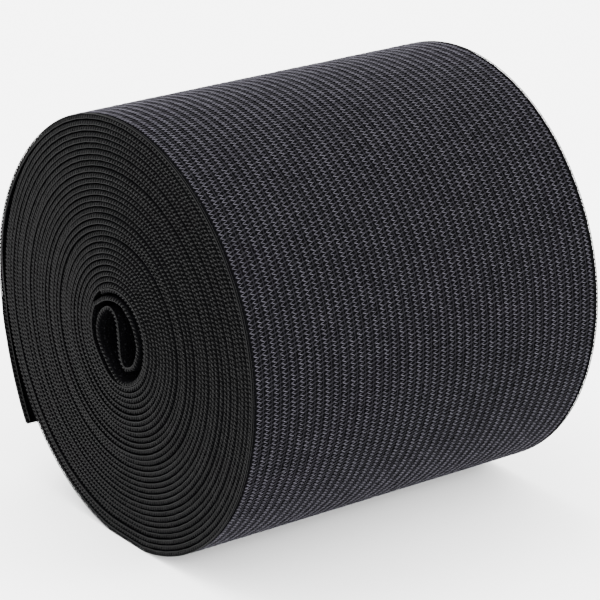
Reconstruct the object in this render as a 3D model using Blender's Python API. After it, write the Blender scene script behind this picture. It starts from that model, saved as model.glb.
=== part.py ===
"""Roll of wide knitted elastic, lying on its side.

One band starts as an S in the middle, with an open lobe on each side of it, and is then wound on itself about
thirty times. Its last stretch lifts off the roll and ends in the cut edge. There is no tube inside.

Units are metres, +Z up. The roll's axis runs along Y and the end with the curled corner faces -Y. The origin is
in the middle of the flat spot that the roll rests on. Angles are measured round the axis from +X towards +Z.
"""

import math
from collections import namedtuple

import bmesh
import bpy
from mathutils import Vector

MM = 0.001

# The band.
BAND_WIDTH = 76.2 * MM
BAND_THICKNESS = 1.0 * MM
SELVEDGE_ROUND = 0.35 * MM

# The winding: centreline radii, and the angle along the winding, which grows outwards by 360 a turn.
CORE_RADIUS = 9.8 * MM
OUTER_RADIUS = 40.0 * MM
CORE_CENTRE = Vector((-1.1 * MM, -0.55 * MM))
TAIL_ANGLE = 125.0
WHOLE_TURNS = 30
LAST_PART_TURN = 94.5
END_TURN = 360.0 * WHOLE_TURNS + LAST_PART_TURN

# The dent that the flat side of the S leaves in the first turns.
DENT_DEPTH = 0.6 * MM
DENT_ANGLE = 223.0
DENT_SPREAD = 22.0
DENT_FADE = 4.0

# The flat spot under the roll.
FLAT_DEPTH = 0.4 * MM

# The loose end.
LOOSE_SPAN = 33.0
PIECE_GAP = 0.3 * MM
TIP_LIFT = 2.1 * MM
LIFT_POWER = 1.5
WAVE_HEIGHT = 0.2 * MM
CURL_REACH = 7.0 * MM
CURL_DROP = 0.9 * MM

# How finely the curved runs and the rounded rims are cut.
OUTLINE_STEPS = 180
RIM_STEPS = 2
RIM_PROFILE = 0.5
RING_STEP = 6.0
FOLD_STEPS = 5
LOOSE_STEPS_ALONG = 18
LOOSE_STEPS_ACROSS = 24

# The S at the start of the band, as millimetres from the core's centre: where the band passes on its way from
# the tail, round the first lobe, down between the lobes, round the second lobe and into the winding.
FoldRow = namedtuple("FoldRow", ("place", "x", "z"))
FOLD = tuple(
    FoldRow(*row)
    for row in (
        ("foot of the first lobe", -0.4, -7.9),
        ("first lobe, lower side", -3.1, -6.0),
        ("first lobe, outer side", -5.8, -2.9),
        ("first lobe, widest", -6.7, -0.2),
        ("first lobe, shoulder", -5.6, 2.9),
        ("first lobe, crown", -3.0, 4.85),
        ("bend into the strand", -1.0, 4.0),
        ("strand, upper part", -0.2, 2.0),
        ("strand, middle", 0.1, -0.7),
        ("strand, lower part", 0.45, -3.2),
        ("bend out of the strand", 1.4, -4.8),
        ("foot of the second lobe", 2.9, -4.95),
        ("second lobe, lower side", 5.1, -3.6),
        ("second lobe, widest", 6.4, 0.0),
        ("second lobe, shoulder", 5.0, 4.0),
        ("second lobe, crown", 2.0, 6.7),
        ("second lobe, top", -1.1, 7.2),
        ("under the tail", -4.4, 6.4),
        ("joins the winding", -7.05, 4.76),
    )
)

# Where the winding meets the S, and where the two hollows beside the S close up.
TAIL_LEAVES_RING = -206.0
BAND_JOINS_RING = 25.0
FIRST_HOLLOW_STARTS = -50.0
FIRST_HOLLOW_ENDS_AT = "second lobe, crown"
SECOND_HOLLOW_STARTS_AT = "first lobe, lower side"
SECOND_HOLLOW_ENDS = 112.0

ELASTIC_COLOUR = (0.030, 0.030, 0.034, 1.0)
ELASTIC_ROUGHNESS = 0.85
SHARP_ANGLE = 30.0


def clear_scene():
    for thing in list(bpy.data.objects):
        bpy.data.objects.remove(thing, do_unlink=True)


def elastic_material(name):
    material = bpy.data.materials.new(name)
    material.use_nodes = True
    shader = material.node_tree.nodes["Principled BSDF"]
    shader.inputs["Base Color"].default_value = ELASTIC_COLOUR
    shader.inputs["Roughness"].default_value = ELASTIC_ROUGHNESS
    shader.inputs["Metallic"].default_value = 0.0
    return material


def ring_radius(turn):
    """Centreline radius of the winding at an angle along it, with the dent in the first turns."""
    share = (turn - 360.0) / (END_TURN - 360.0)
    radius = CORE_RADIUS + (OUTER_RADIUS - CORE_RADIUS) * share
    away = (turn + TAIL_ANGLE - DENT_ANGLE + 180.0) % 360.0 - 180.0
    fade = (1.0 - max(share, 0.0)) ** DENT_FADE
    return radius - DENT_DEPTH * fade * math.exp(-((away / DENT_SPREAD) ** 2))


def ring_point(turn, offset=0.0):
    """Point of the winding at an angle along it, as (x, z) from the roll's axis."""
    share = (turn - 360.0) / (END_TURN - 360.0)
    centre = CORE_CENTRE * (1.0 - share)
    angle = math.radians(turn + TAIL_ANGLE)
    radius = ring_radius(turn) + offset
    return centre + radius * Vector((math.cos(angle), math.sin(angle)))


def ring_run(start, stop, step=RING_STEP):
    """Points of the winding from one angle to another."""
    count = max(1, round(abs(stop - start) / step))
    return [ring_point(start + (stop - start) * i / count) for i in range(count + 1)]


def fold_run(first, last):
    """Smooth run through the fold's places from one to another, both included."""
    names = [row.place for row in FOLD]
    places = [CORE_CENTRE + Vector((row.x, row.z)) * MM for row in FOLD]
    points = [ring_point(TAIL_LEAVES_RING)] + places + [ring_point(BAND_JOINS_RING)]
    low = names.index(first) + 1
    high = names.index(last) + 1
    run = [points[low]]
    for i in range(low, high):
        a, b, c, d = points[i - 1], points[i], points[i + 1], points[min(i + 2, len(points) - 1)]
        for step in range(1, FOLD_STEPS + 1):
            t = step / FOLD_STEPS
            run.append(
                0.5
                * (
                    2.0 * b
                    + (c - a) * t
                    + (2.0 * a - 5.0 * b + 4.0 * c - d) * t**2
                    + (3.0 * b - a - 3.0 * c + d) * t**3
                )
            )
    return run


def shifted(points, offset):
    """The run moved sideways: to its left for a positive offset, to its right for a negative one."""
    moved = []
    for i, point in enumerate(points):
        along = points[min(i + 1, len(points) - 1)] - points[max(i - 1, 0)]
        along.normalize()
        moved.append(point + offset * Vector((-along.y, along.x)))
    return moved


def first_hollow():
    """The lobe that the tail bends round, with the crescent that runs from it up the right-hand side."""
    run = ring_run(FIRST_HOLLOW_STARTS, TAIL_LEAVES_RING)
    run += fold_run(FOLD[0].place, FIRST_HOLLOW_ENDS_AT)
    return shifted(run, -BAND_THICKNESS / 2)


def second_hollow():
    """The lobe on the other side of the strand, with the crescent that runs from it down the left-hand side."""
    run = fold_run(SECOND_HOLLOW_STARTS_AT, FOLD[-1].place)
    run += ring_run(BAND_JOINS_RING, SECOND_HOLLOW_ENDS)
    return shifted(run, BAND_THICKNESS / 2)


def roll_outline():
    """Outside of the last full turn, up to the step where the loose end leaves it."""
    root = END_TURN - LOOSE_SPAN
    turns = [root - 360.0 + 360.0 * i / OUTLINE_STEPS for i in range(OUTLINE_STEPS + 1)]
    return [ring_point(turn, BAND_THICKNESS / 2) for turn in turns]


def axis_height(outline):
    """Height of the roll's axis over the surface, with the bottom pressed flat."""
    return -min(point.y for point in outline) - FLAT_DEPTH


def prism(name, outline, height, half_length, rim_round=0.0):
    """Closed solid of an outline run along Y, lifted to the axis height, with nothing of it below the surface."""
    mesh = bmesh.new()
    front = [mesh.verts.new((p.x, -half_length, max(p.y + height, 0.0))) for p in outline]
    cap = mesh.faces.new(front)
    extruded = bmesh.ops.extrude_face_region(mesh, geom=[cap], use_keep_orig=True)
    back = [item for item in extruded["geom"] if isinstance(item, bmesh.types.BMVert)]
    bmesh.ops.translate(mesh, verts=back, vec=(0.0, 2.0 * half_length, 0.0))
    bmesh.ops.recalc_face_normals(mesh, faces=mesh.faces[:])
    if rim_round:
        rims = [edge for edge in mesh.edges if abs(edge.verts[0].co.y - edge.verts[1].co.y) < half_length]
        bmesh.ops.bevel(
            mesh,
            geom=rims,
            offset=rim_round,
            segments=RIM_STEPS,
            profile=RIM_PROFILE,
            affect="EDGES",
            clamp_overlap=True,
        )
    data = bpy.data.meshes.new(name)
    mesh.to_mesh(data)
    mesh.free()
    thing = bpy.data.objects.new(name, data)
    bpy.context.scene.collection.objects.link(thing)
    return thing


def hollow_cutter(name, outline, height):
    cutter = prism(name, outline, height, BAND_WIDTH)
    cutter.hide_render = True
    cutter.display_type = "WIRE"
    return cutter


def cut(thing, cutter):
    modifier = thing.modifiers.new("cut " + cutter.name, "BOOLEAN")
    modifier.operation = "DIFFERENCE"
    modifier.solver = "EXACT"
    modifier.object = cutter


def build_wound_roll(height):
    roll = prism("wound_roll", roll_outline(), height, BAND_WIDTH / 2, SELVEDGE_ROUND)
    cut(roll, hollow_cutter("first_hollow_cutter", first_hollow(), height))
    cut(roll, hollow_cutter("second_hollow_cutter", second_hollow(), height))
    roll.data.materials.append(elastic_material("elastic roll"))
    roll.data.shade_smooth()
    roll.data.set_sharp_from_angle(angle=math.radians(SHARP_ANGLE))
    return roll


def loose_offset(share, y):
    """How far the loose end stands off the winding, at a share of its length and a place across the band."""
    lift = PIECE_GAP + TIP_LIFT * share**LIFT_POWER
    wave = WAVE_HEIGHT * share * math.sin(2.0 * math.pi * y / BAND_WIDTH)
    near_edge = max(0.0, 1.0 - (y + BAND_WIDTH / 2) / CURL_REACH)
    return lift + wave - CURL_DROP * share**2 * near_edge**2


def build_loose_end(height):
    """Curved sheet that starts a gap past the step and ends in the cut edge."""
    root = END_TURN - LOOSE_SPAN + math.degrees(PIECE_GAP / OUTER_RADIUS)
    mesh = bmesh.new()
    rows = []
    for i in range(LOOSE_STEPS_ALONG + 1):
        share = i / LOOSE_STEPS_ALONG
        turn = root + (END_TURN - root) * share
        row = []
        for j in range(LOOSE_STEPS_ACROSS + 1):
            y = BAND_WIDTH * (j / LOOSE_STEPS_ACROSS - 0.5)
            point = ring_point(turn, loose_offset(share, y))
            row.append(mesh.verts.new((point.x, y, point.y + height)))
        rows.append(row)
    for near, far in zip(rows, rows[1:]):
        for j in range(LOOSE_STEPS_ACROSS):
            mesh.faces.new((near[j], near[j + 1], far[j + 1], far[j]))
    data = bpy.data.meshes.new("loose_end")
    mesh.to_mesh(data)
    mesh.free()
    data.materials.append(elastic_material("elastic loose end"))
    data.shade_smooth()
    sheet = bpy.data.objects.new("loose_end", data)
    bpy.context.scene.collection.objects.link(sheet)
    solid = sheet.modifiers.new("thickness", "SOLIDIFY")
    solid.thickness = BAND_THICKNESS
    solid.offset = 0.0
    return sheet


def main():
    clear_scene()
    height = axis_height(roll_outline())
    build_wound_roll(height)
    build_loose_end(height)


if __name__ == "__main__":
    main()
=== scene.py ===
"""Roll of wide knitted elastic: the band, its stitches, selvedges and cut end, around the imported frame.

Units are metres, +Z up, in the frame's own axes: the roll's axis runs along Y and the end with the curled
corner faces -Y. Angles are measured round the axis from +X towards +Z, and a place along the winding is an
angle that grows outwards by 360 a turn.
"""

import math
from collections import namedtuple

import bmesh
import bpy
import numpy as np
from bpy.props import FloatProperty, FloatVectorProperty, IntProperty, PointerProperty
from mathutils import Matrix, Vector


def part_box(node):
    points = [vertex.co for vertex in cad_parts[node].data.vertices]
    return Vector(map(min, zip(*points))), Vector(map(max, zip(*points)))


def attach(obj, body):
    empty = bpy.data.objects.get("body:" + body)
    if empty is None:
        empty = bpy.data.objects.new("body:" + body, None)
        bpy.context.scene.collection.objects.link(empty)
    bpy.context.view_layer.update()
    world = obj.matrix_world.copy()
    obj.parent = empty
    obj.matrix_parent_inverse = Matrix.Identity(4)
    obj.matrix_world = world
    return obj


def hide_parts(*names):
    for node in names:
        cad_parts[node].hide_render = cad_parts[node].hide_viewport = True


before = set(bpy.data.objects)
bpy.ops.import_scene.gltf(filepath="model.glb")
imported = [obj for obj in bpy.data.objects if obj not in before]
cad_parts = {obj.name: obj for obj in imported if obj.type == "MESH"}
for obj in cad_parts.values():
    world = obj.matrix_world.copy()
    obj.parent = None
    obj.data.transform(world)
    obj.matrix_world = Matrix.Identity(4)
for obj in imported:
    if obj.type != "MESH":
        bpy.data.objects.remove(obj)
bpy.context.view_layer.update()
WOUND_LOW, WOUND_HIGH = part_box("wound_roll")

bl_info = {
    "name": "Roll of Elastic",
    "version": (1, 0, 0),
    "blender": (4, 5, 0),
    "location": "3D View > Sidebar > Elastic",
    "description": "A roll of wide knitted elastic with its stitches, selvedges and loose end",
    "category": "Add Mesh",
}

MM = 0.001
BODY = "root"

# The band and its winding, as in the frame. Turns and angles are in degrees.
BAND_WIDTH = WOUND_HIGH.y - WOUND_LOW.y
BAND_THICKNESS = 1.0 * MM
CORE_RADIUS = 9.8 * MM
OUTER_RADIUS = 40.0 * MM
CORE_CENTRE = np.array((-1.1, -0.55)) * MM
TAIL_ANGLE = 125.0
END_TURN = 360.0 * 30 + 94.5
DENT_DEPTH = 0.6 * MM
DENT_ANGLE = 223.0
DENT_SPREAD = 22.0
DENT_FADE = 4.0
FLAT_DEPTH = 0.4 * MM
FLAT_REACH = 8.0 * MM

# The loose end: its lift off the winding, its wave, and its near edge rolled under. It leaves the winding
# over the last SLACK_FROM degrees and stands a little further off than the frame's plain sheet.
LOOSE_SPAN = 33.0
PIECE_GAP = 0.3 * MM
GAP_OPENS = 0.2
TIP_LIFT = 3.6 * MM
LIFT_POWER = 1.5
WAVE_HEIGHT = 0.2 * MM
CURL_REACH = 7.0 * MM
CURL_DROP = 0.9 * MM
SLACK = 1.35 * MM
SLACK_FROM = 95.0
SLACK_OVER = 55.0
ROLL_REACH = 1.5 * MM
ROLL_ANGLE = 98.0
ROLL_FROM = 60.0
ROLL_OVER = 55.0

# How the band strays from an even winding: a coarse and a fine part of each, with their size in millimetres.
Stray = namedtuple("Stray", ("size", "spacing", "seed"))
WANDER = (Stray(0.20, 0.19, 11), Stray(0.08, 0.035, 12))
SETTLING = (Stray(0.04, 0.11, 21), Stray(0.02, 0.03, 22))
WANDER_FADE = 0.25
WANDER_LEAST = 0.15
SETTLING_FROM = 0.09
SETTLING_ENDS = 0.27
SETTLING_FADE = 0.1

# The S at the start of the band, in millimetres from the core's centre.
FoldRow = namedtuple("FoldRow", ("place", "x", "z"))
FOLD = tuple(
    FoldRow(*row)
    for row in (
        ("foot of the first lobe", -0.4, -7.9),
        ("first lobe, lower side", -3.1, -6.0),
        ("first lobe, outer side", -5.8, -2.9),
        ("first lobe, widest", -6.7, -0.2),
        ("first lobe, shoulder", -5.6, 2.9),
        ("first lobe, crown", -3.0, 4.85),
        ("bend into the strand", -1.0, 4.0),
        ("strand, upper part", -0.2, 2.0),
        ("strand, middle", 0.1, -0.7),
        ("strand, lower part", 0.45, -3.2),
        ("bend out of the strand", 1.4, -4.8),
        ("foot of the second lobe", 2.9, -4.95),
        ("second lobe, lower side", 5.1, -3.6),
        ("second lobe, widest", 6.4, 0.0),
        ("second lobe, shoulder", 5.0, 4.0),
        ("second lobe, crown", 2.0, 6.7),
        ("second lobe, top", -1.1, 7.2),
        ("under the tail", -4.4, 6.4),
        ("joins the winding", -7.05, 4.76),
    )
)
TAIL_LEAVES_RING = -206.0
BAND_JOINS_RING = 25.0

# The strip under the yarns: half its thickness where it shows and where it lies between turns, and its steps.
GROUND_HALF = 0.36 * MM
PACKED_HALF = 0.58 * MM
PACKED_FROM = 2.0 * MM
EDGE_INSET = 0.15 * MM
EDGE_ROUND = 0.12 * MM
EDGE_TURNS = (60.0, 0.0, -60.0)
WOUND_STEPS = 3
LOOSE_ACROSS = 28
NEAR_STEPS = 8
LOOSE_STEPS = 60
SHORTEST_STEP = 0.5 * MM
BAND_STEP = (5.0, 3.0 * MM)
THREAD_STEP = (6.0, 4.0 * MM)

# The knit: wales of zigzag yarn along the band, the weft yarn between them, and how much of it is shown.
COURSES_A_TURN = 320
COURSE = math.tau * OUTER_RADIUS / COURSES_A_TURN
WALES = 42
FIRST_WALE = 1.5 * MM
WALE = (BAND_WIDTH - 2 * FIRST_WALE) / (WALES - 1)
KNIT_TURN = 366.0
STITCH_JITTER = 0.02 * MM
KNIT_STEPS = 180
WARP_STEPS = 160

# Where the strip is packed, and how far each yarn stops short of the cut end.
PACKED_OUTSIDE_TO = END_TURN - KNIT_TURN - 6.0
PACKED_INSIDE_FROM = 385.0
PACKED_INSIDE_TO = END_TURN - SLACK_FROM - 5.0
KNIT_MARGIN = 0.3 * MM
YARN_MARGIN = 0.4 * MM
THREAD_MARGIN = 0.1 * MM
CUT_END_INSET = 0.15 * MM

# Tones of the finishes: darkest colour as painted shade in the holes, between the plies and under the yarns,
# and the lint.
PAINTED_HOLE_SHADE = (0.002, 0.002, 0.002, 1.0)
PAINTED_VALLEY_SHADE = (0.001, 0.001, 0.001, 1.0)
PAINTED_UNDER_SHADE = (0.0004, 0.0004, 0.0005, 1.0)
LINT_AMOUNT = 0.1

# The view.
CAMERA_AZIMUTH = 53.87
CAMERA_ELEVATION = 20.84
CAMERA_DISTANCE = 583.9 * MM
CAMERA_RIGHT = 0.65 * MM
CAMERA_DOWN = 1.30 * MM
FLOOR_HALF = 4


# ---------------------------------------------------------------- the band's path


def smoothstep(t):
    """Smooth rise from 0 to 1 as t goes from 0 to 1."""
    t = np.clip(t, 0.0, 1.0)
    return t * t * (3.0 - 2.0 * t)


def wound_share(turn):
    """Share of the winding at angles along it, from 0 at its first full turn to 1 at its end."""
    return (turn - 360.0) / (END_TURN - 360.0)


def ring_radius(turn):
    """Radius of the winding's middle at angles along it, with the dent over the joint of the S."""
    share = wound_share(turn)
    radius = CORE_RADIUS + (OUTER_RADIUS - CORE_RADIUS) * share
    away = (turn + TAIL_ANGLE - DENT_ANGLE + 180.0) % 360.0 - 180.0
    fade = (1.0 - np.maximum(share, 0.0)) ** DENT_FADE
    return radius - DENT_DEPTH * fade * np.exp(-((away / DENT_SPREAD) ** 2))


def ring_points(turn, offset=0.0):
    """Points of the winding at angles along it, as rows of (x, z) from the roll's axis."""
    turn = np.asarray(turn, float)
    angle = np.radians(turn + TAIL_ANGLE)
    radius = ring_radius(turn) + offset
    centre = CORE_CENTRE[None, :] * (1.0 - wound_share(turn))[:, None]
    return centre + radius[:, None] * np.stack((np.cos(angle), np.sin(angle)), axis=1)


def fold_points(steps):
    """Smooth run through the rows of the fold, between where the band leaves and joins the rings."""
    places = [CORE_CENTRE + np.array((row.x, row.z)) * MM for row in FOLD]
    ends = ring_points([TAIL_LEAVES_RING, BAND_JOINS_RING])
    rows = [ends[0]] + places + [ends[1]]
    run = []
    for i in range(1, len(rows) - 2):
        a, b, c, d = rows[i - 1 : i + 3]
        for step in range(steps):
            t = step / steps
            bend = (2 * a - 5 * b + 4 * c - d) * t**2 + (3 * b - a - 3 * c + d) * t**3
            run.append(0.5 * (2 * b + (c - a) * t + bend))
    run.append(rows[-2])
    return np.array(run)


class BandPath:
    """The band's centreline in the (x, z) plane, from its start in the core to its cut end."""

    def __init__(self, ring_step=1.5, fold_steps=12):
        tail = np.arange(0.0, TAIL_LEAVES_RING, -ring_step)
        count = int((END_TURN - BAND_JOINS_RING) / ring_step) + 1
        wound = np.linspace(BAND_JOINS_RING, END_TURN, count)
        fold = fold_points(fold_steps)
        between = np.linspace(TAIL_LEAVES_RING, BAND_JOINS_RING, len(fold) + 2)[1:-1]
        self.points = np.concatenate((ring_points(tail), fold, ring_points(wound)))
        self.turn = np.concatenate((tail, between, wound))
        steps = np.linalg.norm(np.diff(self.points, axis=0), axis=1)
        self.along = np.concatenate(([0.0], np.cumsum(steps)))
        self.length = self.along[-1]
        self.tail_to = len(tail) - 1
        self.wound_from = len(tail) + len(fold)
        tangent = np.gradient(self.points, self.along, axis=0)
        self.tangent = tangent / np.linalg.norm(tangent, axis=1)[:, None]

    def at(self, along):
        """Point, tangent, outward normal and turn at places along the band."""
        point, tangent = (
            np.stack([np.interp(along, self.along, rows[:, k]) for k in (0, 1)], axis=-1)
            for rows in (self.points, self.tangent)
        )
        tangent /= np.linalg.norm(tangent, axis=-1)[..., None]
        normal = np.stack((tangent[..., 1], -tangent[..., 0]), axis=-1)
        return point, tangent, normal, np.interp(along, self.along, self.turn)

    def along_at_turn(self, turn):
        """Place along the band at an angle along the winding."""
        return np.interp(turn, self.turn[self.wound_from :], self.along[self.wound_from :])


PATH = BandPath()

# The winding's outline up to the loose end's root, the height of its axis, and its underside.
ROOT_TURN = END_TURN - LOOSE_SPAN
OUTLINE = ring_points(np.linspace(ROOT_TURN - 360.0, ROOT_TURN, 1441), BAND_THICKNESS / 2)
AXIS_HEIGHT = -OUTLINE[:, 1].min() - FLAT_DEPTH
UNDERSIDE = OUTLINE[OUTLINE[:, 1] < -0.9 * OUTER_RADIUS]
UNDERSIDE = UNDERSIDE[np.argsort(UNDERSIDE[:, 0])]


def step_chart(degrees, longest):
    """Running count of steps at the path's points, each some degrees of the winding but not too long."""
    step = np.clip(np.hypot(*PATH.points.T) * math.radians(degrees), SHORTEST_STEP, longest)
    return np.concatenate(([0.0], np.cumsum(np.diff(PATH.along) / step[1:])))


def drift(along, spacing, seed):
    """Smooth noise from -1 to 1 along the band, with a new value every spacing."""
    knots = np.random.default_rng(seed).uniform(-1.0, 1.0, int(PATH.length / spacing) + 3)
    place = np.asarray(along) / spacing
    low = np.clip(np.floor(place).astype(int), 0, len(knots) - 2)
    t = smoothstep(place - low)
    return knots[low] * (1.0 - t) + knots[low + 1] * t


def strayed(along, strays):
    """Sum of a few drifts, in millimetres."""
    return sum(stray.size * drift(along, stray.spacing, stray.seed) for stray in strays)


def sideways(along):
    """How far the band has wandered sideways in the winding."""
    last = np.clip((PATH.length - np.asarray(along)) / WANDER_FADE, WANDER_LEAST, 1.0)
    return last * MM * strayed(along, WANDER)


def bedding(along):
    """How far the band has settled in or out of its even winding."""
    start = np.clip((np.asarray(along) - SETTLING_FROM) / SETTLING_FADE, 0.0, 1.0)
    last = np.clip((PATH.length - SETTLING_ENDS - np.asarray(along)) / SETTLING_FADE, 0.0, 1.0)
    return start * last * MM * strayed(along, SETTLING)


def loose_lift(turn, y):
    """How far the loose end stands off the winding."""
    share = np.clip((turn - ROOT_TURN) / LOOSE_SPAN, 0.0, 1.0)
    lift = PIECE_GAP * smoothstep(share / GAP_OPENS) + TIP_LIFT * share**LIFT_POWER
    wave = WAVE_HEIGHT * share * np.sin(math.tau * y / BAND_WIDTH)
    near_edge = np.maximum(0.0, 1.0 - (y + BAND_WIDTH / 2) / CURL_REACH)
    lift = lift + SLACK * smoothstep((turn - END_TURN + SLACK_FROM) / SLACK_OVER)
    return lift + wave - CURL_DROP * share**2 * near_edge**2


def edge_roll(turn, y, offset):
    """Place across and height of a point, with the loose end's near edge rolled under."""
    share = smoothstep((turn - END_TURN + ROLL_FROM) / ROLL_OVER)
    bend = np.maximum(math.radians(ROLL_ANGLE) * share, 0.0001)
    inside = np.maximum(0.0, ROLL_REACH - BAND_WIDTH / 2 - y)
    radius = ROLL_REACH / bend
    angle = inside / radius
    rolled_y = y + inside - radius * np.sin(angle) - offset * np.sin(angle)
    return rolled_y, offset * np.cos(angle) - radius * (1.0 - np.cos(angle))


def pressed(x, z):
    """Height of a point over the surface, with the roll's underside pressed flat."""
    under = np.interp(x, UNDERSIDE[:, 0], UNDERSIDE[:, 1], left=1.0, right=1.0)
    short = np.maximum(0.0, -(under + AXIS_HEIGHT))
    depth = np.clip((z - under) / FLAT_REACH, 0.0, 1.0)
    near = (z < -0.7 * OUTER_RADIUS) & (under < 0.0)
    return z + AXIS_HEIGHT + np.where(near, short * (1.0 - depth), 0.0)


def on_band(along, y, offset):
    """Point on the band at a place along it, a place across it and a height over its middle layer."""
    along, y, offset = np.broadcast_arrays(along, y, offset)
    point, _, normal, turn = PATH.at(along)
    y, up = edge_roll(turn, y, offset)
    out = up + bedding(along) + loose_lift(turn, y)
    x = point[..., 0] + normal[..., 0] * out
    z = point[..., 1] + normal[..., 1] * out
    return np.stack((x, y + sideways(along), pressed(x, z)), axis=-1)


def band_axes(along, y, reach=0.1 * MM):
    """Unit vectors along the band and out of it, at places on it."""
    ahead = on_band(along + reach, y, 0.0) - on_band(along - reach, y, 0.0)
    across = on_band(along, y + reach, 0.0) - on_band(along, y - reach, 0.0)
    ahead /= np.linalg.norm(ahead, axis=-1)[..., None]
    out = np.cross(across, ahead)
    out /= np.linalg.norm(out, axis=-1)[..., None]
    return ahead, out


# ---------------------------------------------------------------- node trees


class Wiring:
    """A node tree being built, with short ways to add and join its nodes."""

    def __init__(self, tree):
        self.tree = tree

    def feed(self, socket, value):
        """Joins a socket to another one, or sets its value."""
        if isinstance(value, bpy.types.NodeSocket):
            self.tree.links.new(value, socket)
        else:
            socket.default_value = value

    def add(self, kind, *values, **settings):
        """New node with its settings, its first inputs fed with values."""
        node = self.tree.nodes.new(kind)
        for key, value in settings.items():
            setattr(node, key, value)
        for socket, value in zip(node.inputs, values):
            self.feed(socket, value)
        return node

    def math(self, operation, *values):
        """Result of a sum."""
        return self.add("ShaderNodeMath", *values, operation=operation).outputs[0]

    def smooth(self, value, low, high):
        """0 below low, 1 above high, smooth between."""
        node = self.add("ShaderNodeMapRange", interpolation_type="SMOOTHSTEP")
        self.feed(node.inputs["Value"], value)
        self.feed(node.inputs["From Min"], low)
        self.feed(node.inputs["From Max"], high)
        return node.outputs["Result"]

    def mix(self, share, first, second):
        """Colour between two others."""
        node = self.add("ShaderNodeMix", data_type="RGBA")
        self.feed(node.inputs[0], share)
        self.feed(node.inputs[6], first)
        self.feed(node.inputs[7], second)
        return node.outputs[2]


# ---------------------------------------------------------------- meshes and pieces


def link(thing):
    """Puts an object in the scene."""
    bpy.context.scene.collection.objects.link(thing)
    return thing


def mesh_object(name, verts, faces, uvs=None, tones_and_painted_light=None):
    """Object of vertices and faces, with a UV for each face corner and a tone with painted light and shade
    for each vertex.
    """
    data = bpy.data.meshes.new(name)
    data.from_pydata([tuple(v) for v in verts], [], [tuple(f) for f in faces])
    if uvs is not None:
        layer = data.uv_layers.new(name="UVMap")
        layer.data.foreach_set("uv", np.asarray(uvs, np.float32).ravel())
    if tones_and_painted_light is not None:
        tone = data.attributes.new("tone", "FLOAT", "POINT")
        tone.data.foreach_set("value", np.asarray(tones_and_painted_light, np.float32))
    data.validate()
    data.shade_smooth()
    return link(bpy.data.objects.new(name, data))


def skin(reach, sides):
    """Faces and corner UVs over rings of a tube, whose places along it are given in millimetres."""
    faces, uvs = [], []
    for i in range(len(reach) - 1):
        here, there = i * sides, (i + 1) * sides
        for k in range(sides):
            n = (k + 1) % sides
            low, high = k / sides, (k + 1) / sides
            faces.append((here + k, here + n, there + n, there + k))
            uvs += [(reach[i], low), (reach[i], high), (reach[i + 1], high), (reach[i + 1], low)]
    return faces, uvs


def tube(centres, radii, sides, across, tone, hidden):
    """Vertices, faces, corner UVs and vertex tones with painted light and shade of a tube through a few
    points.

    Radii are pairs: half the width, and half the height towards the side that shows, which is the side that
    across points to. Each ring has its tone with painted light along the ridge that shows, and only a share
    of it elsewhere, as painted shade on the sides turned away.
    """
    centres = np.asarray(centres, float)
    hidden = np.broadcast_to(hidden, len(centres))
    ahead = np.gradient(centres, axis=0)
    ahead /= np.linalg.norm(ahead, axis=1)[:, None]
    verts, tones_and_painted_light = [], []
    for i, (centre, (wide, high)) in enumerate(zip(centres, radii)):
        side = np.cross(ahead[i], across)
        side /= np.linalg.norm(side)
        up = np.cross(side, ahead[i])
        for k in range(sides):
            angle = math.tau * (k / sides + 0.25)
            verts.append(centre + side * wide * math.cos(angle) + up * high * math.sin(angle))
            tones_and_painted_light.append(tone[i] * (1.0 if k == 0 else hidden[i]))
    lengths = np.linalg.norm(np.diff(centres, axis=0), axis=1)
    return verts, *skin(np.concatenate(([0.0], np.cumsum(lengths))) / MM, sides), tones_and_painted_light


def swept(along, y, offset, radius, tone, hidden, sides=3):
    """Vertices, faces, corner UVs and vertex tones with painted light and shade of a thread that follows the
    band, with closed ends.

    A radius below zero turns the ridge that shows inwards.
    """
    centres = on_band(along, y, offset)
    ahead, out = band_axes(along, np.broadcast_to(y, along.shape))
    side = np.cross(ahead, out)
    verts, tones_and_painted_light = [], []
    for i in range(len(along)):
        for k in range(sides):
            angle = math.tau * (k / sides + 0.25)
            verts.append(centres[i] + radius * (side[i] * math.cos(angle) + out[i] * math.sin(angle)))
            tones_and_painted_light.append(tone * (1.0 if k == 0 else hidden))
    faces, uvs = skin(along / MM, sides)
    last = (len(along) - 1) * sides
    faces += [tuple(range(sides)), tuple(last + k for k in range(sides))]
    uvs += [(0.0, 0.0)] * (2 * sides)
    return verts, faces, uvs, tones_and_painted_light


def joined(*parts):
    """Several (vertices, faces, UVs, tones) as one."""
    verts, faces, uvs, tones_and_painted_light = [], [], [], []
    for part_verts, part_faces, part_uvs, part_tones in parts:
        start = len(verts)
        verts += list(part_verts)
        faces += [tuple(start + i for i in face) for face in part_faces]
        uvs += list(part_uvs)
        tones_and_painted_light += list(part_tones)
    return verts, faces, uvs, tones_and_painted_light


def facing_out(thing):
    """Turns the faces of each closed or tube-like part outwards."""
    mesh = bmesh.new()
    mesh.from_mesh(thing.data)
    bmesh.ops.recalc_face_normals(mesh, faces=mesh.faces[:])
    mesh.to_mesh(thing.data)
    mesh.free()
    return thing


def with_added(piece, others):
    """The piece with the meshes of others added to its own; the others are removed."""
    mesh = bmesh.new()
    for thing in (piece, *others):
        mesh.from_mesh(thing.data)
    mesh.to_mesh(piece.data)
    mesh.free()
    for other in others:
        bpy.data.objects.remove(other, do_unlink=True)
    piece.data.shade_smooth()
    return piece


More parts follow.
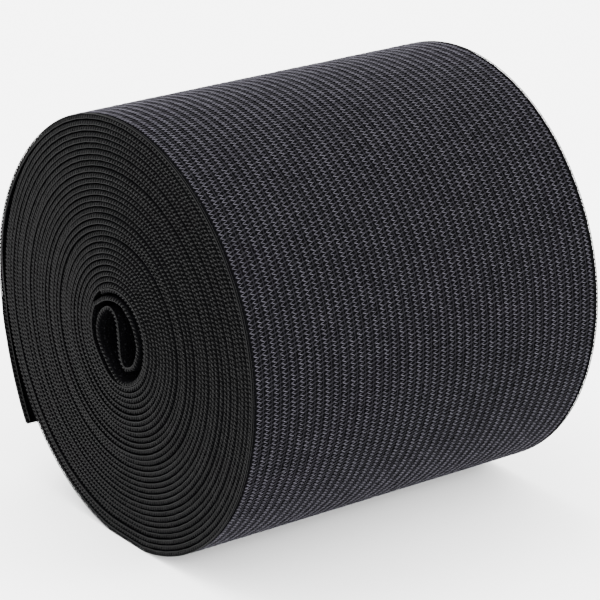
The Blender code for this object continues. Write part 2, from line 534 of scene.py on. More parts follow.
def guide_object(name, along, y, height=0.0, size=(1.0, 1.0, 1.0)):
    """Points on the band that stitches are set on, with their directions and sizes as attributes."""
    name += " guides"
    points = on_band(along, y, height).reshape(-1, 3)
    ahead, out = band_axes(along, y)
    size = np.broadcast_to(size, points.shape)
    data = bpy.data.meshes.new(name)
    data.from_pydata([tuple(p) for p in points], [], [])
    for label, values in (("ahead", ahead), ("out", out), ("size", size)):
        attribute = data.attributes.new(label, "FLOAT_VECTOR", "POINT")
        attribute.data.foreach_set("vector", np.asarray(values, np.float32).ravel())
    return link(bpy.data.objects.new(name, data))


def random_value(w, kind, low, high, seed):
    """Random value from low to high in a geometry tree: a number, or a vector."""
    node = w.add("FunctionNodeRandomValue", data_type=kind)
    first, result = (2, 1) if kind == "FLOAT" else (0, 0)
    w.feed(node.inputs[first], low)
    w.feed(node.inputs[first + 1], high)
    w.feed(node.inputs["Seed"], seed)
    return node.outputs[result]


def stitches_tree():
    """Sets a stitch on each guide point, turned to the band, slightly uneven, as plain geometry."""
    name = "Stitches on a Band"
    if name in bpy.data.node_groups:
        return bpy.data.node_groups[name]
    tree = bpy.data.node_groups.new(name, "GeometryNodeTree")
    kinds = {"Geometry": "Geometry", "Stitch": "Object", "Finish": "Material", "Seed": "Int"}
    for label, kind in kinds.items():
        tree.interface.new_socket(label, in_out="INPUT", socket_type="NodeSocket" + kind)
    for label in ("Turn Unevenness", "Size Unevenness"):
        socket = tree.interface.new_socket(label, in_out="INPUT", socket_type="NodeSocketFloat")
        socket.min_value = 0.0
        socket.max_value = 1.0
    tree.interface.new_socket("Geometry", in_out="OUTPUT", socket_type="NodeSocketGeometry")

    w = Wiring(tree)
    given = w.add("NodeGroupInput").outputs
    put_out = w.add("NodeGroupOutput")

    def named(label):
        node = w.add("GeometryNodeInputNamedAttribute", data_type="FLOAT_VECTOR")
        node.inputs["Name"].default_value = label
        return node.outputs["Attribute"]

    def times(vector, factor):
        node = w.add("ShaderNodeVectorMath", vector, operation="SCALE")
        w.feed(node.inputs["Scale"], factor)
        return node.outputs[0]

    stitch = w.add("GeometryNodeObjectInfo")
    w.feed(stitch.inputs["Object"], given["Stitch"])
    stitch.inputs["As Instance"].default_value = True

    axes = {"primary_axis": "Z", "secondary_axis": "Y"}
    turned = w.add("FunctionNodeAxesToRotation", named("out"), named("ahead"), **axes)
    lower = times((-1.0, -1.0, -1.0), given["Turn Unevenness"])
    upper = times((1.0, 1.0, 1.0), given["Turn Unevenness"])
    turns = random_value(w, "FLOAT_VECTOR", lower, upper, w.math("ADD", given["Seed"], 17))
    turns = w.add("FunctionNodeEulerToRotation", turns)
    both = (turned.outputs[0], turns.outputs[0])
    uneven = w.add("FunctionNodeRotateRotation", *both, rotation_space="LOCAL")

    smaller = w.math("SUBTRACT", 1.0, given["Size Unevenness"])
    larger = w.math("ADD", 1.0, given["Size Unevenness"])
    share = random_value(w, "FLOAT", smaller, larger, w.math("ADD", given["Seed"], 29))

    placed = w.add("GeometryNodeInstanceOnPoints")
    w.feed(placed.inputs["Points"], given["Geometry"])
    w.feed(placed.inputs["Instance"], stitch.outputs["Geometry"])
    w.feed(placed.inputs["Rotation"], uneven.outputs[0])
    w.feed(placed.inputs["Scale"], times(named("size"), share))

    shade = w.add("GeometryNodeStoreNamedAttribute", data_type="FLOAT", domain="INSTANCE")
    shade.inputs["Name"].default_value = "shade"
    w.feed(shade.inputs["Geometry"], placed.outputs[0])
    w.feed(shade.inputs["Value"], random_value(w, "FLOAT", 0.0, 1.0, w.math("ADD", given["Seed"], 43)))

    real = w.add("GeometryNodeRealizeInstances", shade.outputs["Geometry"])
    finish = w.add("GeometryNodeSetMaterial")
    w.feed(finish.inputs["Geometry"], real.outputs[0])
    w.feed(finish.inputs["Material"], given["Finish"])
    w.feed(put_out.inputs[0], finish.outputs[0])
    return tree


def from_guides(name, guides, stitch, finish, seed, turn, size):
    """Plain mesh of a stitch set on every guide point."""
    tree = stitches_tree()
    modifier = guides.modifiers.new("stitches", "NODES")
    modifier.node_group = tree
    wanted = {
        "Stitch": stitch,
        "Finish": finish,
        "Seed": seed,
        "Turn Unevenness": turn,
        "Size Unevenness": size,
    }
    for socket in tree.interface.items_tree:
        if socket.in_out == "INPUT" and socket.name in wanted:
            modifier[socket.identifier] = wanted[socket.name]
    bpy.context.view_layer.update()
    evaluated = guides.evaluated_get(bpy.context.evaluated_depsgraph_get())
    data = bpy.data.meshes.new_from_object(evaluated)
    if not data.polygons:
        raise RuntimeError("no stitches were made for " + name)
    guides.modifiers.remove(modifier)
    data.name = name
    data.materials.clear()
    data.materials.append(finish)
    data.polygons.foreach_set("material_index", np.zeros(len(data.polygons), np.int32))
    data.shade_smooth()
    piece = link(bpy.data.objects.new(name, data))
    for helper in (guides, stitch):
        helper_data = helper.data
        bpy.data.objects.remove(helper, do_unlink=True)
        bpy.data.meshes.remove(helper_data)
    return piece


def finish_piece(piece, material=None):
    """Gives a piece its finish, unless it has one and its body."""
    if material is not None:
        piece.data.materials.clear()
        piece.data.materials.append(material)
    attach(piece, BODY)
    return piece


# ---------------------------------------------------------------- finishes


def new_group(name, inputs, outputs):
    """Shader node group with typed inputs and outputs: its tree and wiring, and its own two ends."""
    kinds = {"value": "NodeSocketFloat", "colour": "NodeSocketColor", "vector": "NodeSocketVector"}
    tree = bpy.data.node_groups.new(name, "ShaderNodeTree")
    for label, kind, default in inputs:
        socket = tree.interface.new_socket(label, in_out="INPUT", socket_type=kinds[kind])
        if default is not None:
            socket.default_value = default
    for label, kind in outputs:
        tree.interface.new_socket(label, in_out="OUTPUT", socket_type=kinds[kind])
    wiring = Wiring(tree)
    return tree, wiring, wiring.add("NodeGroupInput").outputs, wiring.add("NodeGroupOutput").inputs


def dye_group():
    """Uneven dye and lint: cloudy changes of shade over the cloth, and a little dust."""
    name = "Dye and Lint"
    if name in bpy.data.node_groups:
        return bpy.data.node_groups[name]
    tree, w, given, out = new_group(
        name,
        [
            ("Place", "vector", None),
            ("Colour", "colour", (0.03, 0.03, 0.032, 1.0)),
            ("Lint Colour", "colour", (0.06, 0.06, 0.063, 1.0)),
            ("Cloud Size", "value", 9.0),
            ("Cloud Amount", "value", 0.12),
            ("Lint Amount", "value", 0.2),
            ("Shade", "value", 0.5),
            ("Shade Amount", "value", 0.25),
        ],
        [("Colour", "colour"), ("Lint", "value")],
    )
    scale = w.math("DIVIDE", 1000.0, given["Cloud Size"])
    cloud = w.add("ShaderNodeTexNoise", noise_dimensions="3D")
    w.feed(cloud.inputs["Vector"], given["Place"])
    w.feed(cloud.inputs["Scale"], scale)
    cloud.inputs["Detail"].default_value = 3.0
    fine = w.add("ShaderNodeTexNoise", noise_dimensions="3D")
    w.feed(fine.inputs["Vector"], given["Place"])
    fine.inputs["Scale"].default_value = 2600.0
    fine.inputs["Detail"].default_value = 2.0
    lift = w.math("MULTIPLY", w.math("SUBTRACT", cloud.outputs[0], 0.5), given["Cloud Amount"])
    stitch = w.math("MULTIPLY", w.math("SUBTRACT", given["Shade"], 0.5), given["Shade Amount"])
    factor = w.math("ADD", 1.0, w.math("ADD", w.math("MULTIPLY", lift, 2.0), stitch))
    scaled = w.add("ShaderNodeVectorMath", given["Colour"], operation="SCALE")
    w.feed(scaled.inputs["Scale"], factor)
    lint = w.math("MULTIPLY", w.smooth(fine.outputs[0], 0.58, 0.75), given["Lint Amount"])
    w.feed(out["Colour"], w.mix(lint, scaled.outputs[0], given["Lint Colour"]))
    w.feed(out["Lint"], lint)
    return tree


def twist_group():
    """Two-ply twist and filaments of a yarn, and the valleys between the plies for painted shade, from its
    own UV: length in millimetres, then round it.
    """
    name = "Yarn Twist"
    if name in bpy.data.node_groups:
        return bpy.data.node_groups[name]
    tree, w, given, out = new_group(
        name,
        [("UV", "vector", None), ("Twists a Millimetre", "value", 1.6), ("Filaments", "value", 9.0)],
        [("Height", "value"), ("Painted Valley Shade", "value")],
    )
    parts = w.add("ShaderNodeSeparateXYZ", given["UV"])
    length = w.math("MULTIPLY", parts.outputs[0], given["Twists a Millimetre"])
    ply = w.math("MULTIPLY", w.math("ADD", length, parts.outputs[1]), math.tau)
    ply = w.math("ABSOLUTE", w.math("SINE", ply))
    round_it = w.math("MULTIPLY", parts.outputs[1], given["Filaments"])
    hair = w.math("ADD", w.math("MULTIPLY", length, 0.6), round_it)
    hair = w.math("SINE", w.math("MULTIPLY", hair, math.tau))
    w.feed(out["Height"], w.math("ADD", ply, w.math("MULTIPLY", hair, 0.12)))
    w.feed(out["Painted Valley Shade"], w.math("SUBTRACT", 1.0, w.smooth(ply, 0.05, 0.5)))
    return tree


def ground_group():
    """The knit as seen where the yarns aren't modelled one by one, from UV in courses and wales."""
    name = "Knit Ground"
    if name in bpy.data.node_groups:
        return bpy.data.node_groups[name]
    outputs = [("Height", "value"), ("Hole", "value")]
    tree, w, given, out = new_group(name, [("UV", "vector", None)], outputs)
    parts = w.add("ShaderNodeSeparateXYZ", given["UV"])
    course, wale = parts.outputs[0], parts.outputs[1]
    across = w.math("SUBTRACT", w.math("FRACT", wale), 0.5)
    swing = w.math("MULTIPLY", w.math("COSINE", w.math("MULTIPLY", course, math.tau)), 0.095)
    yarn = w.math("ABSOLUTE", w.math("SUBTRACT", across, swing))
    rib = w.math("SUBTRACT", 1.0, w.smooth(yarn, 0.05, 0.14))
    slant = w.math("SUBTRACT", course, w.math("MULTIPLY", across, 0.5))
    bar = w.math("ABSOLUTE", w.math("SUBTRACT", w.math("FRACT", slant), 0.5))
    bar = w.math("SUBTRACT", 1.0, w.smooth(bar, 0.15, 0.5))
    beside = w.math("ABSOLUTE", w.math("SUBTRACT", w.math("ABSOLUTE", across), 0.265))
    column = w.math("SUBTRACT", 1.0, w.smooth(beside, 0.04, 0.12))
    hole = w.math("MULTIPLY", column, w.math("SUBTRACT", 1.0, bar))
    low = w.math("MULTIPLY", bar, 0.45)
    w.feed(out["Height"], w.math("SUBTRACT", w.math("MAXIMUM", rib, low), w.math("MULTIPLY", hole, 0.6)))
    w.feed(out["Hole"], hole)
    return tree


def cloth_material(name, colour, roughness, relief, gloss):
    """Start of a finish of dyed cloth: its wiring, dye node and UV, and a function that finishes it."""
    material = bpy.data.materials.new(name)
    material.use_nodes = True
    w = Wiring(material.node_tree)
    place = w.add("ShaderNodeTexCoord")
    dye = w.add("ShaderNodeGroup", node_tree=dye_group())
    w.feed(dye.inputs["Place"], place.outputs["Object"])
    dye.inputs["Colour"].default_value = (*colour, 1.0)
    dye.inputs["Lint Amount"].default_value = LINT_AMOUNT
    shader = material.node_tree.nodes["Principled BSDF"]
    shader.inputs["Specular IOR Level"].default_value = gloss
    rough = w.math("ADD", roughness, w.math("MULTIPLY", dye.outputs["Lint"], 0.2))
    w.feed(shader.inputs["Roughness"], rough)
    bump = w.add("ShaderNodeBump")
    bump.inputs["Strength"].default_value = 1.0
    bump.inputs["Distance"].default_value = relief
    w.feed(shader.inputs["Normal"], bump.outputs[0])

    def finished(tone, height):
        """The material, with its colour and the height of its relief joined."""
        w.feed(shader.inputs["Base Color"], tone)
        w.feed(bump.inputs["Height"], height)
        return material

    return w, dye, place.outputs["UV"], finished


def ground_material(name, colour):
    """Matt finish of the strip behind the yarns, with the knit's relief and painted shade in its holes."""
    w, dye, uv, finished = cloth_material(name, colour, 0.9, 0.12 * MM, 0.0)
    knit = w.add("ShaderNodeGroup", node_tree=ground_group())
    w.feed(knit.inputs["UV"], uv)
    # The holes are painted near black as shade.
    hole = w.math("MULTIPLY", knit.outputs["Hole"], 0.75)
    return finished(w.mix(hole, dye.outputs["Colour"], PAINTED_HOLE_SHADE), knit.outputs["Height"])


def yarn_material(name, colour, relief, gloss, twist, shade_amount=0.25):
    """Finish of a yarn: two plies, a shade of its own for each stitch, painted shade between the plies, and
    the vertex tone's painted light and shade, darkest where the yarn is tucked under.
    """
    w, dye, uv, finished = cloth_material(name, colour, 0.6, relief, gloss)
    dye.inputs["Shade Amount"].default_value = shade_amount
    shade = w.add("ShaderNodeAttribute", attribute_name="shade", attribute_type="GEOMETRY")
    w.feed(dye.inputs["Shade"], shade.outputs["Fac"])
    ply = w.add("ShaderNodeGroup", node_tree=twist_group())
    w.feed(ply.inputs["UV"], uv)
    ply.inputs["Twists a Millimetre"].default_value = twist
    # The valleys between the plies are painted darker as shade.
    valley_shade = w.math("MULTIPLY", ply.outputs["Painted Valley Shade"], 0.3)
    plied = w.mix(valley_shade, dye.outputs["Colour"], PAINTED_VALLEY_SHADE)
    # The vertex tone is painted light and shade: full on the ridges, near black on the sides turned away and
    # underneath.
    painted_light_tone = w.add("ShaderNodeAttribute", attribute_name="tone", attribute_type="GEOMETRY")
    return finished(w.mix(painted_light_tone.outputs["Fac"], PAINTED_UNDER_SHADE, plied), ply.outputs["Height"])


# ---------------------------------------------------------------- settings


class ElasticSettings(bpy.types.PropertyGroup):
    """Sizes and colours of the roll that a user would change."""

    yarn: FloatProperty(
        name="Wale Yarn", description="Thickness of the zigzag yarn", default=0.24 * MM, subtype="DISTANCE"
    )
    swing: FloatProperty(
        name="Zigzag", description="Half the width of the zigzag", default=0.44 * MM, subtype="DISTANCE"
    )
    thread: FloatProperty(
        name="Edge Thread",
        description="Thickness of the thread along each edge",
        default=0.24 * MM,
        subtype="DISTANCE",
    )
    loop: FloatProperty(
        name="Edge Loop",
        description="Thickness of the loops round each edge",
        default=0.27 * MM,
        subtype="DISTANCE",
    )
    knit_colour: FloatVectorProperty(
        name="Knit", description="Colour of the knit yarn", default=(0.049, 0.0465, 0.056), subtype="COLOR"
    )
    # The ground is the cloth's own black, made far darker than the yarns as painted shade where it shows
    # between them.
    ground_colour_and_shade: FloatVectorProperty(
        name="Ground",
        description="Colour of the cloth behind the yarn",
        default=(0.0012, 0.0012, 0.0014),
        subtype="COLOR",
    )
    edge_colour: FloatVectorProperty(
        name="Edge", description="Colour of the edge yarns", default=(0.024, 0.024, 0.024), subtype="COLOR"
    )
    seed: IntProperty(name="Seed", description="Changes the unevenness of the stitches", default=4)


class ElasticStageSettings(bpy.types.PropertyGroup):
    """Floor, light and view of the roll."""

    floor_colour: FloatVectorProperty(
        name="Floor", description="Colour of the floor", default=(0.93, 0.93, 0.93), subtype="COLOR"
    )
    key_power: FloatProperty(
        name="Key", description="Power of the light overhead", default=90.0, unit="POWER"
    )
    side_power: FloatProperty(
        name="Side", description="Power of the light at the side", default=90.0, unit="POWER"
    )
    fill: FloatProperty(name="Fill", description="Strength of the light all round", default=5.2)
    lens: FloatProperty(name="Lens", description="Focal length of the camera in millimetres", default=192.07)


# ---------------------------------------------------------------- the pieces


def packing(along):
    """Half thickness of the strip's middle, outwards and inwards, at places along it.

    Wound turns fill the space up to their neighbours. The faces that show keep the strip's own thickness.
    """
    turn = np.interp(along, PATH.along, PATH.turn)
    in_fold = (along > PATH.along[PATH.tail_to]) & (along < PATH.along[PATH.wound_from])
    outward = (turn < PACKED_OUTSIDE_TO) & ~in_fold
    inward = (turn > PACKED_INSIDE_FROM) & (turn < PACKED_INSIDE_TO)
    return np.where(outward, PACKED_HALF, GROUND_HALF), np.where(inward, PACKED_HALF, GROUND_HALF)


def strip_rings(along, across):
    """Rings of vertices round the band's section at places along it, and each vertex's place across.

    A ring runs along the outer face, round the far selvedge, back along the inner face and round the near
    selvedge.
    """
    edge = BAND_WIDTH / 2 - EDGE_INSET
    end = edge - EDGE_ROUND
    if across == WOUND_STEPS:
        outer = np.array((-end, -edge + PACKED_FROM, edge - PACKED_FROM, end))
    else:
        near = np.linspace(-end, -edge + ROLL_REACH, NEAR_STEPS + 1)
        outer = np.concatenate((near[:-1], np.linspace(near[-1], end, across + 1 - NEAR_STEPS)))
    ring_y = list(outer)
    ring_n = [GROUND_HALF] * len(outer)
    for turn in EDGE_TURNS:
        ring_y.append(end + EDGE_ROUND * math.cos(math.radians(turn)))
        ring_n.append(GROUND_HALF * math.sin(math.radians(turn)))
    inner_from = len(ring_y)
    ring_y += list(outer[::-1])
    ring_n += [-GROUND_HALF] * len(outer)
    for turn in reversed(EDGE_TURNS):
        ring_y.append(-end - EDGE_ROUND * math.cos(math.radians(turn)))
        ring_n.append(GROUND_HALF * math.sin(math.radians(turn)))
    ring_y = np.array(ring_y)
    ring_n = np.tile(ring_n, (len(along), 1))
    if across == WOUND_STEPS:
        outward, inward = packing(along)
        ring_n[:, 1:across] = outward[:, None]
        ring_n[:, inner_from + 1 : inner_from + across] = -inward[:, None]
    return on_band(along[:, None], ring_y[None, :], ring_n), ring_y


def strip_uv(place, y):
    """UV of the strip, in courses along it and wales across it."""
    return (place / COURSE, (y + BAND_WIDTH / 2 - FIRST_WALE) / WALE + 0.5)


class Strip:
    """A run of the band's strip with the same rings all along, from a first vertex number on."""

    def __init__(self, places, across, first):
        self.places, self.across, self.first = places, across, first
        points, self.ring_y = strip_rings(places, across)
        self.ring = points.shape[1]
        self.verts = points.reshape(-1, 3)

    def corner(self, row, k):
        """Vertex number and UV of a point of a ring, counted on round the ring."""
        k %= self.ring
        return self.first + row * self.ring + k, strip_uv(self.places[row], self.ring_y[k])

    def faces(self):
        """Each face as a list of corners."""
        for i in range(len(self.places) - 1):
            for k in range(self.ring):
                yield [self.corner(*at) for at in ((i, k), (i, k + 1), (i + 1, k + 1), (i + 1, k))]

    def sides(self):
        """Runs round a ring: outer face, far selvedge, inner face, near selvedge."""
        steps = len(EDGE_TURNS) + 1
        at = 0
        for count in (self.across, *[1] * steps, self.across, *[1] * steps):
            yield range(at, at + count + 1)
            at += count


def build_band(name):
    """The band itself: one strip from its start in the core, round the S and the winding, to the cut end."""
    loose_from = PATH.along_at_turn(END_TURN - SLACK_FROM)
    chart = step_chart(*BAND_STEP)
    count = int(chart[np.searchsorted(PATH.along, loose_from)])
    steps = np.linspace(0.0, np.interp(loose_from, PATH.along, chart), count)
    wound = Strip(np.interp(steps, chart, PATH.along), WOUND_STEPS, 0)
    places = np.linspace(loose_from, PATH.length, LOOSE_STEPS + 1)[1:]
    loose = Strip(places, LOOSE_ACROSS, len(wound.verts))
    last = len(wound.places) - 1
    corners = [*wound.faces(), *loose.faces()]
    for coarse, fine in zip(wound.sides(), loose.sides()):
        bridge = [wound.corner(last, k) for k in coarse]
        corners.append(bridge + [loose.corner(0, k) for k in reversed(fine)])
    corners.append([wound.corner(0, k) for k in reversed(range(wound.ring))])
    corners.append([loose.corner(len(places) - 1, k) for k in range(loose.ring)])
    faces = [[vertex for vertex, _ in face] for face in corners]
    uvs = [uv for face in corners for _, uv in face]
    return mesh_object(name, np.concatenate((wound.verts, loose.verts)), faces, uvs)


# Points of the stitches. Their heights are over the band's middle. The zigzag's places are shares of a course
# and of its swing, the weft's are shares of the gap between two wales, and the rest is in millimetres.
# Each point's tone is painted light and shade: one arm of the zigzag lighter than the other, as if lit from
# one side, and the corner that goes behind darker.
ZigzagPoint = namedtuple("ZigzagPoint", ("course", "across", "height", "tone"))
ZIGZAG = (
    ZigzagPoint(-0.5, -1.0, 0.385, 0.7),
    ZigzagPoint(-0.25, 0.0, 0.42, 0.66),
    ZigzagPoint(0.0, 1.0, 0.43, 0.9),
    ZigzagPoint(0.25, 0.0, 0.42, 1.18),
    ZigzagPoint(0.5, -1.0, 0.385, 0.7),
)
ZIGZAG_FLATNESS = 0.65
WeftPoint = namedtuple("WeftPoint", ("share", "wide", "height", "tone"))
WEFT = (
    WeftPoint(-0.1, 0.10, 0.38, 0.28),
    WeftPoint(0.5, 0.22, 0.37, 0.18),
    WeftPoint(1.1, 0.10, 0.36, 0.20),
)
WEFT_HIGH = 0.07 * MM
# The edge loop's outer bend is near black, as painted shade in the groove between turns.
LoopPoint = namedtuple("LoopPoint", ("out", "ahead", "height", "wide", "tone", "hidden"))
EDGE_LOOP = (
    LoopPoint(-0.30, -0.22, 0.28, 0.6, 0.03, 0.05),
    LoopPoint(-0.08, -0.10, 0.08, 1.1, 0.48, 0.38),
    LoopPoint(-0.04, 0.06, -0.14, 1.7, 0.48, 0.65),
    LoopPoint(-0.16, 0.22, -0.36, 2.2, 0.48, 0.8),
)
EndPoint = namedtuple("EndPoint", ("across", "ahead", "height", "wide", "tone"))
YARN_END = (
    EndPoint(0.0, -0.15, 0.0, 0.12, 0.3),
    EndPoint(0.02, 0.15, 0.01, 0.11, 0.3),
    EndPoint(0.05, 0.40, 0.03, 0.05, 0.45),
)
YARN_END_SIDES = 5
YARN_END_SPACING = 0.36 * MM
UP = (0.0, 0.0, 1.0)


def wale_stitch(settings, with_weft):
    """One course of one wale: the zigzag yarn, and the weft yarn that rises to the next wale."""
    swing, yarn = settings.swing, settings.yarn / 2
    path = [(swing * point.across, COURSE * point.course, point.height * MM) for point in ZIGZAG]
    widths = [(yarn, ZIGZAG_FLATNESS * yarn)] * len(path)
    parts = [tube(path, widths, 3, UP, [point.tone for point in ZIGZAG], hidden=0.32)]
    if with_weft:
        gap = WALE - 2 * swing
        path = [(swing + gap * point.share, COURSE / 2 * point.share, point.height * MM) for point in WEFT]
        widths = [(point.wide * MM, WEFT_HIGH) for point in WEFT]
        parts.append(tube(path, widths, 3, UP, [point.tone for point in WEFT], hidden=0.8))
    return facing_out(mesh_object("wale stitch", *joined(*parts)))


def build_knit(name, first, last, settings, finish):
    """The knit that shows on the last turn, for a run of wales. No weft goes beyond the last wale of all."""
    top = PATH.length - KNIT_MARGIN
    bottom = PATH.along_at_turn(END_TURN - KNIT_TURN)
    rows = np.arange(int((top - bottom) / COURSE))
    rng = np.random.default_rng(100 + first + settings.seed)
    wefted = list(range(first, min(last, WALES - 1)))
    plain = list(range(max(first, WALES - 1), last))
    pieces = []
    for wales, with_weft in ((wefted, True), (plain, False)):
        if not wales:
            continue
        jitter = STITCH_JITTER * rng.normal(size=(len(rows), len(wales)))
        along = top - (rows[:, None] + 0.5) * COURSE + jitter
        y = -BAND_WIDTH / 2 + FIRST_WALE + WALE * np.array(wales)[None, :]
        y = y + STITCH_JITTER * rng.normal(size=along.shape)
        stitch = wale_stitch(settings, with_weft)
        guides = guide_object(name, along, y)
        seed = settings.seed + first
        pieces.append(from_guides(name, guides, stitch, finish, seed, turn=0.06, size=0.06))
    return with_added(pieces[0], pieces[1:])


def build_selvedge(name, side, settings, finish):
    """The loops round one edge of the band, one a course, and the threads that run along its corners."""
    loop, thread = settings.loop / 2, settings.thread / 2
    path = [(point.out * MM * side, point.ahead * MM, point.height * MM) for point in EDGE_LOOP]
    widths = [(loop * point.wide, loop) for point in EDGE_LOOP]
    tones_and_painted_light = [point.tone for point in EDGE_LOOP]
    hidden = [point.hidden for point in EDGE_LOOP]
    stitch = facing_out(mesh_object("edge loop", *tube(path, widths, 3, (side, 0.0, 0.0), tones_and_painted_light, hidden)))
    along = np.arange(YARN_MARGIN, PATH.length - YARN_MARGIN, COURSE)
    guides = guide_object(name, along, np.full(along.shape, side * BAND_WIDTH / 2))
    piece = from_guides(name, guides, stitch, finish, settings.seed + 7, turn=0.16, size=0.06)

    chart = step_chart(*THREAD_STEP)
    places = np.interp(np.linspace(0.0, chart[-1], int(chart[-1])), chart, PATH.along)
    places = np.clip(places, 0.0, PATH.length - THREAD_MARGIN)
    shown = np.linspace(PATH.along_at_turn(END_TURN - KNIT_TURN), places[-1], KNIT_STEPS + 1)
    lifted = np.linspace(PATH.along_at_turn(END_TURN - ROLL_FROM), places[-1], LOOSE_STEPS + 1)

    def edge_thread(run, inset, height, radius, tone, hidden):
        return swept(run, side * (BAND_WIDTH / 2 - inset * MM), height * MM, radius, tone, hidden)

    threads = joined(
        edge_thread(places, 0.10, -0.36, -thread, 0.48, 0.4),
        # The thread on the rolled-under edge is brightened all round as a painted highlight where it lies in
        # shade.
        edge_thread(lifted, 0.02, -0.34, -thread, 1.5, 1.0),
        edge_thread(shown, 0.10, 0.38, 0.8 * thread, 0.4, 0.6),
        edge_thread(shown, 0.45, 0.40, 0.6 * thread, 0.45, 0.6),
    )
    return with_added(piece, [facing_out(mesh_object(name + " thread", *threads))])


def build_warp_lines(name):
    """The fine warp thread that shows along each plain channel between the wales."""
    bottom = PATH.along_at_turn(END_TURN - KNIT_TURN)
    places = np.linspace(bottom, PATH.length - YARN_MARGIN, WARP_STEPS + 1)
    parts = []
    for w in range(WALES - 1):
        y = -BAND_WIDTH / 2 + FIRST_WALE + WALE * (w + 0.5)
        parts.append(swept(places, y, 0.37 * MM, 0.10 * MM, 0.24, 0.4))
    return facing_out(mesh_object(name, *joined(*parts)))


def build_cut_end(name, settings, finish):
    """Short yarn ends along the cut edge, in two rows through the band's thickness."""
    path = [(point.across * MM, point.ahead * MM, point.height * MM) for point in YARN_END]
    widths = [(point.wide * MM, point.wide * MM) for point in YARN_END]
    tones_and_painted_light = [point.tone for point in YARN_END]
    verts, faces, uvs, tones_and_painted_light = tube(path, widths, YARN_END_SIDES, UP, tones_and_painted_light, hidden=0.7)
    first = tuple(range(YARN_END_SIDES))
    faces += [first, tuple(len(verts) - YARN_END_SIDES + k for k in first)]
    uvs += [(0.0, 0.0)] * (2 * YARN_END_SIDES)
    stitch = facing_out(mesh_object("yarn end", verts, faces, uvs, tones_and_painted_light))
    rng = np.random.default_rng(60 + settings.seed)
    count = int(BAND_WIDTH / YARN_END_SPACING)
    y = np.linspace(-BAND_WIDTH / 2 + 0.2 * MM, BAND_WIDTH / 2 - 0.2 * MM, count)
    y = np.concatenate((y, y + YARN_END_SPACING / 2))[:-1]
    height = np.concatenate((np.full(count, 0.2), np.full(count, -0.2)))[:-1] * MM
    y = y + 2 * STITCH_JITTER * rng.normal(size=y.shape)
    size = np.ones((len(y), 3))
    size[:, 1] = rng.uniform(0.5, 1.3, len(y))
    guides = guide_object(name, np.full(y.shape, PATH.length - CUT_END_INSET), y, height, size)
    return from_guides(name, guides, stitch, finish, settings.seed + 31, turn=0.25, size=0.15)


# ---------------------------------------------------------------- operators


class ELASTIC_OT_band(bpy.types.Operator):
    """Make the band: the strip that the whole roll is wound from"""

    bl_idname = "elastic.band"
    bl_label = "Band"

    def execute(self, context):
        settings = context.scene.elastic
        finish = ground_material("elastic ground", settings.ground_colour_and_shade)
        piece = finish_piece(build_band("elastic_band"), finish)
        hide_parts("wound_roll", "loose_end")
        return {"FINISHED"}


class ELASTIC_OT_knit(bpy.types.Operator):
    """Make the knit that shows round the outside, in three runs of wales"""

    bl_idname = "elastic.knit"
    bl_label = "Knit"

    def execute(self, context):
        settings = context.scene.elastic
        finish = yarn_material("elastic knit yarn", settings.knit_colour, 0.02 * MM, 0.012, 1.4, 0.45)
        for name, first, last in (("knit_front", 0, 14), ("knit_middle", 14, 28), ("knit_back", 28, WALES)):
            finish_piece(build_knit(name, first, last, settings, finish))
        return {"FINISHED"}


class ELASTIC_OT_warp_lines(bpy.types.Operator):
    """Make the fine warp threads between the wales"""

    bl_idname = "elastic.warp_lines"
    bl_label = "Warp Lines"

    def execute(self, context):
        settings = context.scene.elastic
        finish = yarn_material("elastic warp thread", settings.knit_colour, 0.01 * MM, 0.012, 2.2)
        finish_piece(build_warp_lines("warp_lines"), finish)
        return {"FINISHED"}


class ELASTIC_OT_selvedges(bpy.types.Operator):
    """Make the loops and the thread along both edges of the band"""

    bl_idname = "elastic.selvedges"
    bl_label = "Selvedges"

    def execute(self, context):
        settings = context.scene.elastic
        finish = yarn_material("elastic edge yarn", settings.edge_colour, 0.02 * MM, 0.035, 1.6)
        for name, side in (("selvedge_front", -1.0), ("selvedge_back", 1.0)):
            finish_piece(build_selvedge(name, side, settings, finish))
        return {"FINISHED"}


class ELASTIC_OT_cut_end(bpy.types.Operator):
    """Make the short yarn ends along the cut edge of the loose end"""

    bl_idname = "elastic.cut_end"
    bl_label = "Cut End"

    def execute(self, context):
        settings = context.scene.elastic
        finish = yarn_material("elastic cut yarn", settings.edge_colour, 0.01 * MM, 0.012, 2.2)
        finish_piece(build_cut_end("cut_end", settings, finish))
        return {"FINISHED"}


class ELASTIC_OT_declare(bpy.types.Operator):
    bl_idname = "elastic.declare"
    bl_label = "Declare Sheet"

    def execute(self, context):
        with_pieces = ["knit_front", "knit_middle", "knit_back", "warp_lines"]
        with_pieces += ["selvedge_front", "selvedge_back", "cut_end"]
        return {"FINISHED"}


def area_light(name, place, aim, size, power):
    """Soft white light at a place, turned towards an aim."""
    data = bpy.data.lights.new(name, "AREA")
    data.shape = "RECTANGLE"
    data.size, data.size_y = size
    data.energy = power
    lamp = link(bpy.data.objects.new(name, data))
    lamp.location = place
    lamp.rotation_euler = (aim - Vector(place)).to_track_quat("-Z", "Y").to_euler()


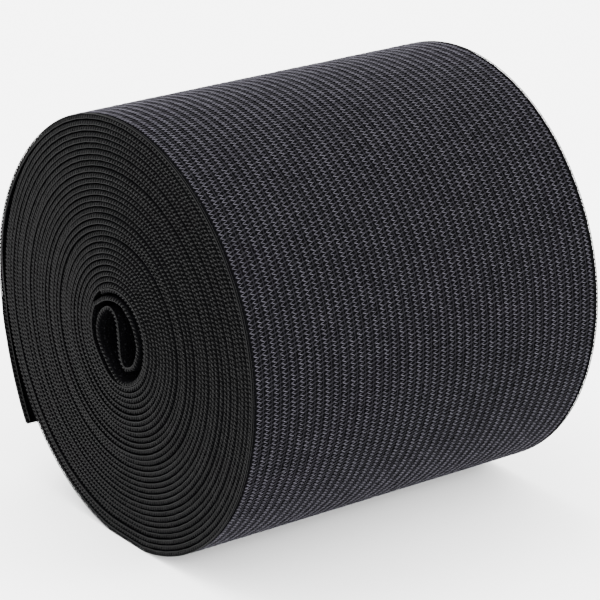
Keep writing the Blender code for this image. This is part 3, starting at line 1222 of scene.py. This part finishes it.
class ELASTIC_OT_stage(bpy.types.Operator):
    """Make the floor, the studio light and the camera"""

    bl_idname = "elastic.stage"
    bl_label = "Stage"

    def execute(self, context):
        settings = context.scene.elastic_stage
        centre = Vector((0.0, 0.0, AXIS_HEIGHT))
        corners = [(x * FLOOR_HALF, y * FLOOR_HALF, 0) for x, y in ((-1, -1), (1, -1), (1, 1), (-1, 1))]
        floor = mesh_object("floor", corners, [(0, 1, 2, 3)])
        material = bpy.data.materials.new("floor")
        material.use_nodes = True
        shader = material.node_tree.nodes["Principled BSDF"]
        shader.inputs["Base Color"].default_value = (*settings.floor_colour, 1.0)
        shader.inputs["Roughness"].default_value = 0.9
        floor.data.materials.append(material)

        area_light("key light", (-0.9, -0.3, 1.9), centre, (1.8, 1.8), settings.key_power)
        area_light("side light", (1.6, 1.3, 0.8), centre, (1.0, 1.0), settings.side_power)

        world = bpy.data.worlds.new("studio")
        world.use_nodes = True
        background = world.node_tree.nodes["Background"]
        background.inputs["Color"].default_value = (1.0, 1.0, 1.0, 1.0)
        background.inputs["Strength"].default_value = settings.fill
        context.scene.world = world

        azimuth, elevation = math.radians(CAMERA_AZIMUTH), math.radians(CAMERA_ELEVATION)
        level = Vector((math.sin(azimuth), -math.cos(azimuth), 0.0))
        back = level * math.cos(elevation) + Vector((0.0, 0.0, math.sin(elevation)))
        data = bpy.data.cameras.new("camera")
        data.lens = settings.lens
        data.sensor_width = 36.0
        data.clip_start = 0.01
        camera = link(bpy.data.objects.new("camera", data))
        turned = back.to_track_quat("Z", "Y")
        right, up = turned @ Vector((1, 0, 0)), turned @ Vector((0, 1, 0))
        camera.location = centre + back * CAMERA_DISTANCE + right * CAMERA_RIGHT - up * CAMERA_DOWN
        camera.rotation_euler = turned.to_euler()
        context.scene.camera = camera
        return {"FINISHED"}


class ELASTIC_PT_panel(bpy.types.Panel):
    """The roll's pieces and sizes"""

    bl_idname = "ELASTIC_PT_panel"
    bl_label = "Roll of Elastic"
    bl_space_type = "VIEW_3D"
    bl_region_type = "UI"
    bl_category = "Elastic"

    def draw(self, context):
        for group in (context.scene.elastic, context.scene.elastic_stage):
            column = self.layout.column()
            for key in group.__annotations__:
                column.prop(group, key)
        for kind in OPERATORS:
            self.layout.operator(kind.bl_idname)


OPERATORS = (
    ELASTIC_OT_band,
    ELASTIC_OT_knit,
    ELASTIC_OT_warp_lines,
    ELASTIC_OT_selvedges,
    ELASTIC_OT_cut_end,
    ELASTIC_OT_declare,
    ELASTIC_OT_stage,
)
CLASSES = (ElasticSettings, ElasticStageSettings, *OPERATORS, ELASTIC_PT_panel)


def register():
    for kind in CLASSES:
        bpy.utils.register_class(kind)
    bpy.types.Scene.elastic = PointerProperty(type=ElasticSettings)
    bpy.types.Scene.elastic_stage = PointerProperty(type=ElasticStageSettings)


def unregister():
    del bpy.types.Scene.elastic_stage
    del bpy.types.Scene.elastic
    for kind in reversed(CLASSES):
        bpy.utils.unregister_class(kind)


def main():
    register()
    bpy.ops.elastic.band()
    bpy.ops.elastic.knit()
    bpy.ops.elastic.warp_lines()
    bpy.ops.elastic.selvedges()
    bpy.ops.elastic.cut_end()
    bpy.ops.elastic.declare()
    bpy.ops.elastic.stage()


if __name__ == "__main__":
    main()
